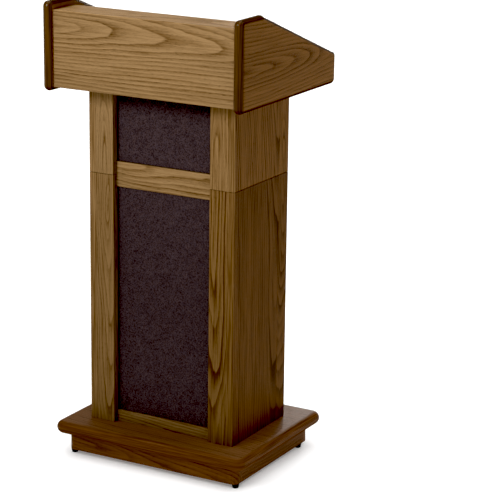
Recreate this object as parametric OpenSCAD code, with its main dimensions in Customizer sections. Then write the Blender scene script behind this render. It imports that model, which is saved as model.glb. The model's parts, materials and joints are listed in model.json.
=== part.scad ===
// Two-piece presentation lectern: a lift-off head unit on a column with a plinth base.
// +Z is up, the audience side faces -Y, and the origin is on the floor under the head's centre.

/* [Overall] */
// Height of the highest point, the cheeks' flat tops
overall_h = 1194; // [1150:1:1250]
// Thickness of the standard boards
board_t = 19; // [16:1:19]

/* [Head] */
// Width over both cheeks
head_w = 570; // [540:2:600]
// Depth of the cheeks from front to back
head_d = 488; // [480:2:500]
// Thickness of a cheek, whose edges are fully rounded
cheek_t = 28; // [24:1:30]
// Height of a cheek along its front edge
cheek_front_h = 225; // [220:1:235]
// Height of a cheek at its back edge
cheek_back_h = 82; // [78:1:90]
// Radius of a cheek's corners, seen from the side
cheek_corner_r = 14; // [13:1:18]
// Length of the level stretch at the top of a cheek
cheek_level = 107; // [100:1:115]
// How far the apron stands back from the cheeks' front edges
apron_setback = 12.5; // [10:0.5:16]
// How far the top boards lie below the cheeks' edges
cheek_lip = 22; // [18:1:24]
// How far the cheeks hang below the apron
cheek_drop = 10; // [8:1:14]
// Side of the square book stop
stop_size = 16; // [12:1:18]

/* [Column] */
// Width of the column
col_w = 424; // [410:2:440]
// Depth of the column
col_d = 274; // [266:2:280]
// How far the column's centre lies in front of the head's centre
col_forward = 7; // [5:1:9]
// Width of the front stiles
stile_w = 52; // [48:1:56]
// Thickness of the front stiles
stile_t = 38; // [38:1:40]
// Width of the solid strips at the back edges of the sides
strip_w = 45; // [40:1:50]
// How far the rails lie behind the faces of the stiles
rail_recess = 15; // [12:1:15]
// Height of the joint between the column's two units
seam_z = 752; // [745:1:760]
// Height of the middle rail's lower edge
mid_rail_z = 720; // [715:1:725]
// Height of the middle rail itself
mid_rail_h = 65; // [60:1:70]
// Height of the bottom rail itself
bottom_rail_h = 30; // [26:1:34]

/* [Base] */
// Width of the slab that carries the column
slab_w = 562; // [540:2:568]
// Depth of the slab
slab_d = 438; // [416:2:444]
// Thickness of the slab, whose edges are fully rounded
slab_t = 34; // [30:1:36]
// Radius of the slab's corners, seen from above
slab_corner_r = 24; // [20:1:30]
// Width of the recessed plinth
plinth_w = 506; // [490:2:510]
// Depth of the recessed plinth
plinth_d = 386; // [374:2:390]
// Height of the plinth boards
plinth_h = 45; // [42:1:52]
// Thickness of the plinth boards
plinth_t = 30; // [26:1:32]
// Radius of the plinth's corners, seen from above
plinth_corner_r = 20; // [12:1:24]
// Height of the rubber feet
foot_h = 12; // [8:1:14]
// Radius of the rubber feet
foot_r = 9.5; // [8:0.5:11]
// Distance of a foot's centre from the plinth's side face
foot_inset = 10.5; // [10:0.5:12]
// Distance of a front foot's centre from the plinth's front face
foot_front = 16; // [14:1:18]
// Distance of a back foot's centre from the plinth's back face
foot_back = 38; // [36:1:44]

/* [Inside] */
// Thickness of the plywood panels
ply_t = 6; // [5:1:6]
// Thickness of the cloth-covered grille panels
grille_t = 12; // [11:1:12]
// Thickness of the stretched cloth in front of a grille panel
cloth_t = 1.5; // [1:0.5:2]
// Height of the loose shelf's underside
shelf_z = 420; // [300:10:520]
// Depth of the loose shelf
shelf_d = 205; // [180:5:210]
// Radius of the loudspeaker cut-outs
speaker_r = 46; // [42:1:48]
// Half the distance between the loudspeakers
speaker_x = 58; // [56:1:62]
// Radius of a locating dowel
dowel_r = 5; // [4:0.5:6]
// Radius of the bore in the loudspeaker input socket
jack_r = 3.25; // [3:0.05:3.5]

/* [Hidden] */

$fn = 64;
arc_steps = 10;
walnut = "#7a5a30";
walnut_dark = "#4f3517";
walnut_edge = "#3a2613";
ply = "#b08a58";
cloth_brown = "#35262a";
steel = "#9b9da1";
black = "#1b1b1c";

// Heights of the base
slab_z = foot_h + plinth_h;
floor_z = slab_z + slab_t;

// Heights and half sizes of the head
head_x = head_w / 2 - cheek_t;
head_y = head_d / 2;
cheek_z = overall_h - cheek_front_h;
head_z = cheek_z + cheek_drop;
top_z = overall_h - cheek_lip;
apron_y = apron_setback - head_y;
ridge_y = cheek_level - head_y;
slope = (cheek_front_h - cheek_back_h) / (head_d - cheek_level);
tilt = atan(slope);
fold_y = ridge_y + 5;
read_end_y = head_y - stop_size - 11;
read_end_z = top_z - (read_end_y - fold_y) * slope;
read_drop = board_t / cos(tilt);
rail_end_y = read_end_y - board_t * sin(tilt);
rail_end_z = read_end_z - board_t * cos(tilt);

// Half sizes of the column
col_x = col_w / 2;
in_x = col_x - board_t;
gap_x = in_x - stile_w;
front_y = -col_d / 2 - col_forward;
back_y = col_d / 2 - col_forward;
strip_y = back_y - strip_w;
inner_y = front_y + stile_t;
rail_y = front_y + rail_recess;
cloth_y = rail_y + 3.5;
grille_y = cloth_y + cloth_t;
spacer_y = grille_y + grille_t;
panel_y = inner_y + ply_t;
slip = 0.5;
mid_rail_top = mid_rail_z + mid_rail_h;
rail_t = inner_y - rail_y - slip;

// Loudspeaker box
baffle_t = 12;
baffle_y = inner_y + baffle_t;
box_y = -44;
neck_z = seam_z + board_t;
speaker_z = (mid_rail_top + head_z) / 2;
flange_r = speaker_r + 6;

// Places of what repeats
foot_x = plinth_w / 2 - foot_inset;
foot_places = [for (s = [-1, 1], y = [foot_front - plinth_d / 2, plinth_d / 2 - foot_back]) [s * foot_x, y]];
dowel_places = [for (x = [-150, 150], y = [-60, 95]) [x, y]];
pin_places = [for (s = [-1, 1], y = [-60, 80]) [s, y]];
pin_r = 2.5;
rail_dowel_r = 4;
rail_dowel_heights = [floor_z + 8, floor_z + 22, mid_rail_z + 8, mid_rail_z + 24];
rail_dowel_places = [for (s = [-1, 1], z = rail_dowel_heights) [s, z]];

// A box given by its lowest and highest corners
module block(a, b) {
  translate(a) cube(b - a);
}

// The same shape on the left for s = -1 and on the right for s = 1
module sided(s) {
  if (s < 0) mirror([1, 0, 0]) children();
  else children();
}

// A board along X whose section in Y and Z is a polygon
module prism_x(x0, x1, points) {
  translate([x0, 0, 0]) rotate([90, 0, 90]) linear_extrude(x1 - x0) polygon(points);
}

// Points of an arc, and the section of a board whose two narrow edges are half round
function arc(x, y, r, a0, a1) =
  [for (i = [0 : arc_steps]) let(a = a0 + (a1 - a0) * i / arc_steps) [x + r * cos(a), y + r * sin(a)]];
function half_round(w, t) =
  concat(arc((w - t) / 2, 0, t / 2, -90, 90), arc((t - w) / 2, 0, t / 2, 90, 270));

// A pan-head wood screw that points up, with its head's face at z = 0
module wood_screw(r, head_r, head_h, length) {
  cylinder(r = head_r, h = head_h);
  cylinder(r = r, h = length);
}

// Rubber bumper under each corner of the plinth
module foot_bumpers() {
  color(black)
    for (p = foot_places)
      translate([p[0], p[1], 0])
        difference() {
          union() {
            cylinder(r1 = foot_r - 1.5, r2 = foot_r, h = foot_h / 2);
            translate([0, 0, foot_h / 2]) cylinder(r = foot_r, h = foot_h / 2);
          }
          translate([0, 0, -1]) cylinder(r = 5, h = 4);
          translate([0, 0, -1]) cylinder(r = 2, h = foot_h + 2);
        }
}

module foot_screws() {
  color(steel)
    for (p = foot_places)
      translate([p[0], p[1], 1]) wood_screw(2, 4, 2, foot_h + 18);
}

// Bores for the screws of the feet
module foot_bores() {
  for (p = foot_places) translate([p[0], p[1], foot_h - 1]) cylinder(r = 2, h = 21);
}

// Front and back plinth boards run the full width and have the rounded corners
module plinth_long(s) {
  x = plinth_w / 2;
  y = plinth_d / 2;
  r = plinth_corner_r;
  rotate([0, 0, s < 0 ? 0 : 180])
    translate([0, 0, foot_h]) linear_extrude(plinth_h)
      polygon(concat(arc(r - x, r - y, r, 180, 270), arc(x - r, r - y, r, 270, 360),
                     [[x, plinth_t - y], [-x, plinth_t - y]]));
}

module plinth_front() {
  color(walnut_dark)
    difference() {
      plinth_long(-1);
      foot_bores();
    }
}

module plinth_back() {
  color(walnut_dark) plinth_long(1);
}

module plinth_short(s) {
  y = plinth_d / 2 - plinth_t;
  color(walnut_dark)
    difference() {
      sided(s) block([plinth_w / 2 - plinth_t, -y, foot_h], [plinth_w / 2, y, slab_z]);
      foot_bores();
    }
}

module plinth_left() {
  plinth_short(-1);
}

module plinth_right() {
  plinth_short(1);
}

// Glue blocks in the corners, drilled for the screws that hold the slab
block_w = 50;
block_x = plinth_w / 2 - plinth_t;
block_y = plinth_d / 2 - plinth_t;
block_z = foot_h + 10;
module plinth_blocks() {
  color(ply)
    for (sx = [-1, 1], sy = [-1, 1])
      difference() {
        translate([sx * (block_x - block_w / 2), sy * (block_y - block_w / 2), (block_z + slab_z) / 2])
          cube([block_w, block_w, slab_z - block_z], center = true);
        translate([sx * (block_x - block_w / 2), sy * (block_y - block_w / 2), block_z - 1])
          cylinder(r = 2.5, h = slab_z - block_z + 2);
      }
}

module slab_screws() {
  color(steel)
    for (sx = [-1, 1], sy = [-1, 1])
      translate([sx * (block_x - block_w / 2), sy * (block_y - block_w / 2), block_z - 2.5])
        wood_screw(2.5, 5, 2.5, slab_z - block_z + 22);
}

// Slab with half-round edges and rounded corners
module slab_shape() {
  x = slab_w / 2 - slab_corner_r;
  y = slab_d / 2 - slab_corner_r;
  r = slab_corner_r;
  intersection() {
    rotate([90, 0, 90]) linear_extrude(slab_w + 2, center = true) polygon(half_round(slab_d, slab_t));
    rotate([90, 0, 0]) linear_extrude(slab_d + 2, center = true) polygon(half_round(slab_w, slab_t));
    linear_extrude(slab_t + 2, center = true)
      polygon(concat(arc(x, -y, r, -90, 0), arc(x, y, r, 0, 90),
                     arc(-x, y, r, 90, 180), arc(-x, -y, r, 180, 270)));
  }
}

module base_slab() {
  color(walnut_dark)
    difference() {
      translate([0, 0, slab_z + slab_t / 2]) slab_shape();
      for (sx = [-1, 1], sy = [-1, 1])
        translate([sx * (block_x - block_w / 2), sy * (block_y - block_w / 2), slab_z - 1])
          cylinder(r = 2.5, h = 20.5);
      for (s = [-1, 1], y = cleat_screw_y)
        translate([s * (in_x - cleat_w / 2), y, floor_z - 18]) cylinder(r = 2, h = 20);
    }
}

// Cleats that hold the column's sides down on the slab, inside the column
cleat_w = 22;
cleat_screw_y = [-60, 60];
module floor_cleats() {
  color(ply)
    for (s = [-1, 1])
      difference() {
        sided(s) block([in_x - cleat_w, panel_y, floor_z], [in_x, back_y - board_t, floor_z + cleat_w]);
        for (y = cleat_screw_y)
          translate([s * (in_x - cleat_w / 2), y, floor_z - 1]) cylinder(r = 2, h = cleat_w + 2);
      }
}

module cleat_screws() {
  color(steel)
    for (s = [-1, 1], y = cleat_screw_y)
      translate([s * (in_x - cleat_w / 2), y, floor_z + cleat_w + 2])
        mirror([0, 0, 1]) wood_screw(2, 4, 2, cleat_w + 20);
}

// Side panels of the lower unit, drilled for the shelf pins
pin_z = shelf_z - pin_r - 0.3;
pin_rows = [-96, -48, 0, 48, 96];
module lower_side(s) {
  color(walnut)
    difference() {
      sided(s) block([in_x, front_y, floor_z], [col_x, strip_y, seam_z]);
      for (p = pin_places, dz = pin_rows)
        if (p[0] == s)
          translate([s * (in_x - 1), p[1], pin_z + dz]) rotate([0, s * 90, 0]) cylinder(r = pin_r, h = 11);
    }
}

module lower_side_left() {
  lower_side(-1);
}

module lower_side_right() {
  lower_side(1);
}

// Solid strips glued to the back edges of the side panels
module side_strip(s, z0, z1) {
  color(walnut_dark) sided(s) block([in_x, strip_y, z0], [col_x, back_y, z1]);
}

module lower_strip_left() {
  side_strip(-1, floor_z, seam_z);
}

module lower_strip_right() {
  side_strip(1, floor_z, seam_z);
}

// Front stiles of the lower unit, drilled for the dowels of the rails
module lower_stile(s) {
  color(walnut)
    difference() {
      sided(s) block([gap_x, front_y, floor_z], [in_x, inner_y, seam_z]);
      for (p = rail_dowel_places)
        if (p[0] == s)
          translate([s * (gap_x - 1), rail_y + rail_t / 2, p[1]]) rotate([0, s * 90, 0])
            cylinder(r = rail_dowel_r, h = 17);
    }
}

module lower_stile_left() {
  lower_stile(-1);
}

module lower_stile_right() {
  lower_stile(1);
}

// A rail between the stiles, with blind holes for two dowels at each end
module rail(z0, z1) {
  color(walnut)
    difference() {
      block([-gap_x, rail_y, z0], [gap_x, rail_y + rail_t, z1]);
      for (p = rail_dowel_places)
        if (p[1] > z0 && p[1] < z1)
          translate([p[0] * (gap_x - 16), rail_y + rail_t / 2, p[1]]) rotate([0, p[0] * 90, 0])
            cylinder(r = rail_dowel_r, h = 17);
    }
}

// The middle rail stands up past the joint and locates the head unit between its stiles
module mid_rail() {
  rail(mid_rail_z, mid_rail_top);
}

module bottom_rail() {
  rail(floor_z, floor_z + bottom_rail_h);
}

module rail_dowels() {
  color(ply)
    for (p = rail_dowel_places)
      translate([p[0] * (gap_x - 16), rail_y + rail_t / 2, p[1]]) rotate([0, p[0] * 90, 0])
        cylinder(r = rail_dowel_r, h = 32);
}

// Grille panels, their cloth, and the spacers that hold them off the board behind
cloth_gap = 0.6;
panel_gap = 1;
module lower_grille_panel() {
  color(ply)
    block([panel_gap - gap_x, grille_y, floor_z + bottom_rail_h + panel_gap],
          [gap_x - panel_gap, spacer_y, mid_rail_z - panel_gap]);
}

module lower_grille_cloth() {
  color(cloth_brown)
    block([cloth_gap - gap_x, cloth_y, floor_z + bottom_rail_h + cloth_gap],
          [gap_x - cloth_gap, grille_y, mid_rail_z - cloth_gap]);
}

module spacers(places) {
  color(ply)
    for (p = places)
      translate([p[0], spacer_y, p[1]]) rotate([-90, 0, 0]) cylinder(r = 8, h = inner_y - spacer_y);
}

module lower_grille_spacers() {
  spacers([for (x = [-110, 110], z = [170, 420, 670]) [x, z]]);
}

module lower_front_panel() {
  color(ply) block([-in_x, inner_y, floor_z], [in_x, panel_y, seam_z - board_t]);
}

// Board that closes the lower unit and carries the head unit
module base_top() {
  color(walnut_dark)
    difference() {
      block([-in_x, inner_y, seam_z - board_t], [in_x, back_y, seam_z]);
      for (p = dowel_places)
        translate([p[0], p[1], seam_z - 12]) cylinder(r = dowel_r, h = 13);
    }
}

module back_toe_rail() {
  color(walnut) block([-in_x, back_y - board_t, floor_z], [in_x, back_y, floor_z + 50]);
}

// Steel dowels fixed in the base top, with tapered ends that enter the head unit's floor
module locating_dowels() {
  color(steel)
    for (p = dowel_places)
      translate([p[0], p[1], seam_z - 12]) {
        cylinder(r = dowel_r, h = 23);
        translate([0, 0, 23]) cylinder(r1 = dowel_r, r2 = dowel_r - 1.5, h = 3);
      }
}

module shelf_pins() {
  color(steel)
    for (p = pin_places)
      translate([p[0] * (in_x - 9), p[1], pin_z]) rotate([0, p[0] * 90, 0]) cylinder(r = pin_r, h = 19);
}

// Loose shelf that lies on the pins
module shelf() {
  x = in_x - 1.5;
  y = back_y - 20;
  color(walnut) block([-x, y - shelf_d, shelf_z], [x, y, shelf_z + board_t - 1]);
}

// Side panels, strips and stiles of the neck, which is the head unit's part of the column
module neck_side(s) {
  color(walnut) sided(s) block([in_x, front_y, seam_z], [col_x, strip_y, head_z]);
}

module neck_side_left() {
  neck_side(-1);
}

module neck_side_right() {
  neck_side(1);
}

module neck_strip_left() {
  side_strip(-1, seam_z, head_z);
}

module neck_strip_right() {
  side_strip(1, seam_z, head_z);
}

module neck_stile(s) {
  color(walnut) sided(s) block([gap_x + slip, front_y, seam_z], [in_x, inner_y, head_z]);
}

module neck_stile_left() {
  neck_stile(-1);
}

module neck_stile_right() {
  neck_stile(1);
}

// Floor of the neck, bored for the locating dowels
dowel_play = 0.1;
module neck_floor() {
  color(walnut_dark)
    difference() {
      block([-in_x, baffle_y, seam_z], [in_x, back_y, neck_z]);
      for (p = dowel_places)
        translate([p[0], p[1], seam_z - 1]) cylinder(r = dowel_r + dowel_play, h = board_t + 2);
    }
}

module upper_grille_panel() {
  color(ply)
    difference() {
      block([panel_gap - gap_x, grille_y, mid_rail_top + panel_gap],
            [gap_x - panel_gap, spacer_y, head_z - panel_gap]);
      for (s = [-1, 1])
        translate([s * speaker_x, grille_y - 1, speaker_z]) rotate([-90, 0, 0])
          cylinder(r = flange_r + 1, h = grille_t + 2);
    }
}

module upper_grille_cloth() {
  color(cloth_brown)
    block([cloth_gap - gap_x, cloth_y, mid_rail_top + cloth_gap],
          [gap_x - cloth_gap, grille_y, head_z - cloth_gap]);
}

module upper_grille_spacers() {
  spacers([for (x = [-125, 125], z = [mid_rail_top + 15, head_z - 15]) [x, z]]);
}

// Board behind the upper grille that carries the two loudspeakers
module speaker_baffle() {
  color(ply)
    difference() {
      block([-in_x, inner_y, seam_z], [in_x, baffle_y, head_z]);
      for (s = [-1, 1]) {
        translate([s * speaker_x, inner_y - 1, speaker_z]) rotate([-90, 0, 0])
          cylinder(r = speaker_r, h = baffle_t + 2);
        speaker_holes(s);
      }
    }
}

// Screw holes of one loudspeaker, or its screws
screw_circle_r = speaker_r + 3;
module speaker_holes(s) {
  for (a = [45 : 90 : 315])
    translate([s * speaker_x + screw_circle_r * cos(a), inner_y, speaker_z + screw_circle_r * sin(a)])
      rotate([-90, 0, 0]) cylinder(r = 1.5, h = 10);
}

// Pressed steel baskets: a flange in front and a cone-shaped frame with windows
module speaker_baskets() {
  y0 = inner_y - 2.5;
  color(black)
    for (s = [-1, 1])
      translate([s * speaker_x, y0, speaker_z]) rotate([-90, 0, 0])
        difference() {
          union() {
            cylinder(r = flange_r, h = 2.5);
            translate([0, 0, 2.5]) cylinder(r1 = speaker_r - 0.5, r2 = 30, h = 34);
          }
          translate([0, 0, -1]) cylinder(r = speaker_r - 4, h = 4.5);
          translate([0, 0, 3.4]) cylinder(r1 = speaker_r - 4, r2 = 26, h = 31);
          translate([0, 0, 30]) cylinder(r = 16, h = 8);
          for (a = [45 : 90 : 315])
            rotate([0, 0, a]) translate([screw_circle_r, 0, -1]) cylinder(r = 1.5, h = 5);
          for (a = [0 : 90 : 270])
            rotate([0, 0, a]) translate([22, -12, 16]) cube([30, 24, 12]);
        }
}

// Paper cones with their rolled surround and dust cap, turned as one profile
module speaker_cones() {
  rim = speaker_r - 4;
  profile = [[0, 12], [14, 15], [14, 16.5], [rim - 7, 3.5], [rim, 3.5], [rim, 2], [rim - 8, 2],
             [14, 13.5], [9, 10.5], [0, 9.5]];
  color("#2a2826")
    for (s = [-1, 1])
      translate([s * speaker_x, inner_y - 2.5, speaker_z]) rotate([-90, 0, 0])
        rotate_extrude() polygon(profile);
}

module speaker_magnets() {
  color(steel)
    for (s = [-1, 1])
      translate([s * speaker_x, inner_y + 34, speaker_z]) rotate([-90, 0, 0])
        difference() {
          union() {
            cylinder(r = 30, h = 14);
            translate([0, 0, 14]) cylinder(r = 26, h = 3);
          }
          translate([0, 0, 8]) cylinder(r = 7, h = 10);
        }
}

module speaker_screws() {
  color(steel)
    for (s = [-1, 1], a = [45 : 90 : 315])
      translate([s * speaker_x + screw_circle_r * cos(a), inner_y - 4, speaker_z + screw_circle_r * sin(a)])
        rotate([-90, 0, 0]) wood_screw(1.5, 2.7, 1.5, 13.9);
}

// Panel that closes the loudspeaker box, with a hole for the input socket
socket_x = 120;
socket_z = 840;
module speaker_box_back() {
  color(ply)
    difference() {
      block([-in_x, box_y, neck_z], [in_x, box_y + ply_t, head_z]);
      translate([socket_x, box_y - 1, socket_z]) rotate([-90, 0, 0]) cylinder(r = 9, h = ply_t + 2);
      for (sx = [-1, 1], sz = [-1, 1])
        translate([socket_x + sx * plate_x, box_y - 1, socket_z + sz * plate_z]) rotate([-90, 0, 0])
          cylinder(r = 1.5, h = ply_t + 2);
    }
}

plate_x = 30;
plate_z = 18;
plate_y = box_y + ply_t;
module input_plate() {
  color(black)
    difference() {
      block([socket_x - 37, plate_y, socket_z - 25], [socket_x + 37, plate_y + 2, socket_z + 25]);
      translate([socket_x, plate_y - 1, socket_z]) rotate([-90, 0, 0]) cylinder(r = 5, h = 4);
      for (sx = [-1, 1], sz = [-1, 1])
        translate([socket_x + sx * plate_x, plate_y - 1, socket_z + sz * plate_z]) rotate([-90, 0, 0])
          cylinder(r = 1.5, h = 4);
    }
}

// Quarter-inch socket with its body behind the plate and its ring nut in front
module input_socket() {
  color(steel)
    translate([socket_x, plate_y, socket_z]) rotate([-90, 0, 0])
      difference() {
        union() {
          translate([0, 0, -22]) cylinder(r = 8, h = 22);
          cylinder(r = 5, h = 5);
          translate([0, 0, 2]) cylinder(r = 8, h = 2.5);
        }
        translate([0, 0, -16]) cylinder(r = jack_r, h = 22);
      }
}

module input_plate_screws() {
  color(steel)
    for (sx = [-1, 1], sz = [-1, 1])
      translate([socket_x + sx * plate_x, plate_y + 3.2, socket_z + sz * plate_z]) rotate([90, 0, 0])
        wood_screw(1.5, 2.7, 1.2, 8);
}

// Floor of the head, screwed down on the neck
neck_screw_places = [for (s = [-1, 1], y = [-90, 0, 60]) [s * (in_x + board_t / 2), y]];
module head_floor() {
  color(walnut_dark)
    difference() {
      block([-head_x, apron_y + board_t, head_z], [head_x, rail_end_y - board_t, head_z + board_t]);
      for (p = neck_screw_places)
        translate([p[0], p[1], head_z - 1]) cylinder(r = 2, h = board_t + 2);
    }
}

// Screws that hold the head's floor down on the neck's sides
module neck_screws() {
  color(steel)
    for (p = neck_screw_places)
      translate([p[0], p[1], head_z + board_t + 2])
        mirror([0, 0, 1]) wood_screw(2, 4, 2, board_t + 2);
}

// Cheeks: solid ends with rounded corners, whose edges are half round all the way round
module cheek_edges(h) {
  rotate([90, 0, 0]) linear_extrude(2 * head_d, center = true) rotate(90) polygon(half_round(h, cheek_t));
}

module cheek(s) {
  r = cheek_corner_r;
  y = head_y - r;
  back_z = cheek_z + cheek_back_h - r * (1 / cos(tilt) - tan(tilt));
  outline = concat(
    arc(-y, cheek_z + r, r, 180, 270),
    arc(y, cheek_z + r, r, 270, 360),
    arc(y, back_z, r, 0, 90 - tilt),
    arc(ridge_y - r * tan(tilt / 2), overall_h - r, r, 90 - tilt, 90),
    arc(-y, overall_h - r, r, 90, 180)
  );
  color(walnut_edge)
    translate([s * (head_x + cheek_t / 2), 0, 0])
      intersection() {
        prism_x(-cheek_t, cheek_t, outline);
        linear_extrude(2 * overall_h) rotate(90) polygon(half_round(head_d, cheek_t));
        translate([0, 0, cheek_z + cheek_front_h / 2]) cheek_edges(cheek_front_h);
        translate([0, ridge_y, overall_h]) rotate([-tilt, 0, 0])
          translate([0, 0, -head_d]) cheek_edges(2 * head_d);
      }
}

module cheek_left() {
  cheek(-1);
}

module cheek_right() {
  cheek(1);
}

// Apron and level top board, joined by a mitre along the front edge
module apron() {
  y1 = apron_y + board_t;
  color(walnut)
    prism_x(-head_x, head_x, [[apron_y, head_z], [y1, head_z], [y1, top_z - board_t], [apron_y, top_z]]);
}

module head_top() {
  y1 = apron_y + board_t;
  color(walnut)
    prism_x(-head_x, head_x, [[apron_y, top_z], [y1, top_z - board_t],
                              [fold_y, top_z - board_t], [fold_y, top_z]]);
}

module apron_blocks() {
  y1 = apron_y + board_t;
  z1 = head_z + board_t;
  color(ply)
    for (x = [-200, 0, 200])
      prism_x(x - 30, x + 30, [[y1, z1], [y1 + 28, z1], [y1, z1 + 28]]);
}

// Sloped reading board, the rail under its low end, and the book stop glued across that end
module reading_board() {
  color(walnut)
    prism_x(-head_x, head_x, [[fold_y, top_z], [fold_y, top_z - read_drop],
                              [rail_end_y, rail_end_z], [read_end_y, read_end_z]]);
}

module head_back_rail() {
  y0 = rail_end_y - board_t;
  color(walnut)
    prism_x(-head_x, head_x, [[y0, head_z], [rail_end_y, head_z],
                              [rail_end_y, rail_end_z], [y0, rail_end_z + board_t * slope]]);
}

module book_stop() {
  color(walnut_edge)
    translate([0, read_end_y, read_end_z]) rotate([-tilt, 0, 0])
      block([-head_x, 0, -board_t], [head_x, stop_size, stop_size]);
}

foot_bumpers();
foot_screws();
plinth_front();
plinth_back();
plinth_left();
plinth_right();
plinth_blocks();
base_slab();
slab_screws();
floor_cleats();
cleat_screws();
lower_side_left();
lower_side_right();
lower_strip_left();
lower_strip_right();
lower_stile_left();
lower_stile_right();
mid_rail();
bottom_rail();
rail_dowels();
lower_grille_panel();
lower_grille_cloth();
lower_grille_spacers();
lower_front_panel();
base_top();
back_toe_rail();
locating_dowels();
shelf_pins();
shelf();
neck_side_left();
neck_side_right();
neck_strip_left();
neck_strip_right();
neck_stile_left();
neck_stile_right();
neck_floor();
upper_grille_panel();
upper_grille_cloth();
upper_grille_spacers();
speaker_baffle();
speaker_baskets();
speaker_cones();
speaker_magnets();
speaker_screws();
speaker_box_back();
input_plate();
input_socket();
input_plate_screws();
head_floor();
neck_screws();
cheek_left();
cheek_right();
apron();
apron_blocks();
head_top();
reading_board();
head_back_rail();
book_stop();
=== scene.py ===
# Two-piece wooden presentation lectern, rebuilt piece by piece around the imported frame.
import json
import math

import bmesh
import bpy
from mathutils import Euler, Matrix, Vector, noise

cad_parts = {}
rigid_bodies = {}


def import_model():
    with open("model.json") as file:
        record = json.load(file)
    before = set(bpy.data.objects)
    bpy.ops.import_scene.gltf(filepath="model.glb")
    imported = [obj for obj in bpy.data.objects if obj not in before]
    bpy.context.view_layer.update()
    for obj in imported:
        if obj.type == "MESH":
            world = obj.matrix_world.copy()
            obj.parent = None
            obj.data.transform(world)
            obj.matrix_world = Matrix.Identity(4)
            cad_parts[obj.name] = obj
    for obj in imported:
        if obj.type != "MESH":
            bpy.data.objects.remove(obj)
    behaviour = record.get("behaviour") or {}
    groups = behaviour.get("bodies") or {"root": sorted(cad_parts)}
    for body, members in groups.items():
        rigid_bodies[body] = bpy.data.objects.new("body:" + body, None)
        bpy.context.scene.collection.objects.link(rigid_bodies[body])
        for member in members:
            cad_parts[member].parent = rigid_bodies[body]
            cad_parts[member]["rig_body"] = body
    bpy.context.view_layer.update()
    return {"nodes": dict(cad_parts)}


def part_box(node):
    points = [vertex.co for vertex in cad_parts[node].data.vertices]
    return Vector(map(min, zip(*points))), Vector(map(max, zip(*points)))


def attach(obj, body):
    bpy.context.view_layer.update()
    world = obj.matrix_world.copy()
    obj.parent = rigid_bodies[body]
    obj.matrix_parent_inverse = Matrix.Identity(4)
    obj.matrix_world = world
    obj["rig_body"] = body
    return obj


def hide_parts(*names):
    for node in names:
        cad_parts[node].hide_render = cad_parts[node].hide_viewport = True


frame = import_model()

# ---- Camera, light and floor ----
# The lens looks down on the lectern from the front right, with no shift and no parent,
# so the uprights draw together a little towards the floor.
camera = bpy.data.objects.new("camera", bpy.data.cameras.new("camera"))
bpy.context.scene.collection.objects.link(camera)
camera.data.sensor_width = 36
camera.data.lens = 148.86
yaw, pitch, roll = math.radians(29.19), math.radians(15.499), math.radians(0.761)
camera.matrix_world = (
    Matrix.Translation((2.6354, -4.4014, 1.9669))
    @ Matrix.Rotation(yaw, 4, "Z")
    @ Matrix.Rotation(math.pi / 2 - pitch, 4, "X")
    @ Matrix.Rotation(roll, 4, "Z")
)
bpy.context.scene.camera = camera
# The view curve sinks the deepest tones and lifts the palest, as a hard catalogue print does
viewing = bpy.context.scene.view_settings
viewing.view_transform = "Standard"
viewing.use_curve_mapping = True
viewing.curve_mapping.black_level = (0.027, 0.027, 0.027)
viewing.curve_mapping.white_level = (0.90, 0.90, 0.90)
viewing.curve_mapping.update()


def add_node(tree, kind, inputs, **settings):
    """Adds a node, sets its properties, sets or links its inputs, and returns its outputs"""
    made = tree.nodes.new(kind)
    for key, value in settings.items():
        setattr(made, key, value)
    for key, value in inputs.items():
        if isinstance(value, bpy.types.NodeSocket):
            tree.links.new(value, made.inputs[key])
        else:
            made.inputs[key].default_value = value
    return made.outputs


def calc(tree, operation, *values):
    """Result of one Math node"""
    return add_node(tree, "ShaderNodeMath", dict(enumerate(values)), operation=operation)[0]


def ranged(tree, value, low, high, to_low=0.0, to_high=1.0):
    """Maps low..high to to_low..to_high with a soft, clamped step"""
    inputs = {0: value, 1: low, 2: high, 3: to_low, 4: to_high}
    return add_node(tree, "ShaderNodeMapRange", inputs, interpolation_type="SMOOTHSTEP")[0]


def mixed(tree, factor, a, b):
    """Colour a where factor is 0 and colour b where it is 1"""
    return add_node(tree, "ShaderNodeMix", {0: factor, 6: a, 7: b}, data_type="RGBA")[2]


def speckle(tree, vector, scale, detail=2.0, rough=0.5):
    """Noise over a vector in metres with scale waves per metre along each axis, as value and colour"""
    scaled = add_node(tree, "ShaderNodeVectorMath", {0: vector, 1: scale}, operation="MULTIPLY")[0]
    inputs = {"Vector": scaled, "Scale": 1.0, "Detail": detail, "Roughness": rough}
    return add_node(tree, "ShaderNodeTexNoise", inputs)


def new_look(name):
    """An empty material with its tree and its object coordinates"""
    look = bpy.data.materials.new(name)
    look.use_nodes = True
    look.node_tree.nodes.clear()
    return look, look.node_tree, add_node(look.node_tree, "ShaderNodeTexCoord", {})["Object"]


def finish_look(tree, height, depth, surface):
    """Puts a bump of the given depth under a Principled surface and links it to the output"""
    bump = {"Height": height, "Strength": 1.0, "Distance": depth}
    surface = dict(surface, Normal=add_node(tree, "ShaderNodeBump", bump)[0])
    shader = add_node(tree, "ShaderNodeBsdfPrincipled", surface)[0]
    add_node(tree, "ShaderNodeOutputMaterial", {"Surface": shader})


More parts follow.
